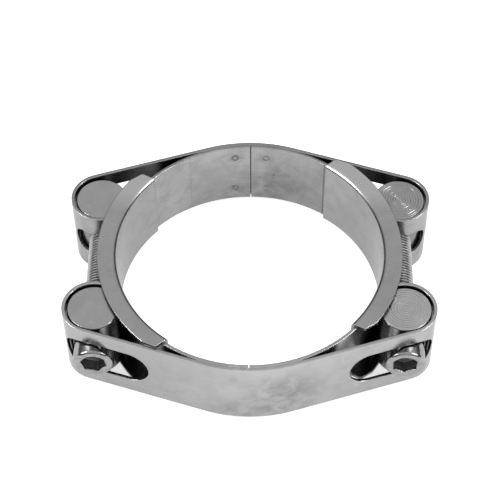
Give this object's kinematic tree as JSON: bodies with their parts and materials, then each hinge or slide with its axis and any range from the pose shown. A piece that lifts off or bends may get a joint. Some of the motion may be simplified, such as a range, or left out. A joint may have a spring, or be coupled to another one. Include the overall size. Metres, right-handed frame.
{
  "type": "double bolt hose clamp",
  "caption": "Heavy hose clamp: looped band halves, channel bridges over the gaps and socket head bolts that draw the halves together through round bar trunnions.",
  "frame": {"origin": "on the hose axis, half way up the band", "axes": "+Z along the hose, +X from the left bolt to the right bolt, and the bolt heads face -Y"},
  "size_m": [0.2748, 0.2152, 0.0664],
  "materials": {
    "band_zinc": "satin zinc plate",
    "bridge_zinc": "satin zinc plate",
    "trunnion_zinc": "turned and zinc plated",
    "bolt_zinc": "bright zinc plate"
  },
  "bodies": {
    "back_half": {"back_band": "band_zinc", "back_left_trunnion": "trunnion_zinc", "back_right_trunnion": "trunnion_zinc", "left_bridge": "bridge_zinc", "right_bridge": "bridge_zinc"},
    "front_half": {"front_band": "band_zinc", "front_left_trunnion": "trunnion_zinc", "front_right_trunnion": "trunnion_zinc"},
    "left_bolt": {"left_bolt": "bolt_zinc"},
    "right_bolt": {"right_bolt": "bolt_zinc"}
  },
  "joints": [
    {"name": "front_slide", "type": "slide", "parent": "back_half", "child": "front_half", "axis": [0, -1, 0], "range_m": [0, 0.01571]},
    {"name": "left_bolt_turn", "type": "hinge", "parent": "front_half", "child": "left_bolt", "pos_m": [-0.11448, -0.0625, 0], "axis": [0, -1, 0], "range_deg": [0, 2262.3]},
    {"name": "right_bolt_turn", "type": "hinge", "parent": "front_half", "child": "right_bolt", "pos_m": [0.11448, -0.0625, 0], "axis": [0, -1, 0], "range_deg": [0, 2262.3]}
  ],
  "couplings": [
    {"joint": "left_bolt_turn", "follows": "front_slide", "rad_per_m": 2513.3},
    {"joint": "right_bolt_turn", "follows": "front_slide", "rad_per_m": 2513.3}
  ]
}
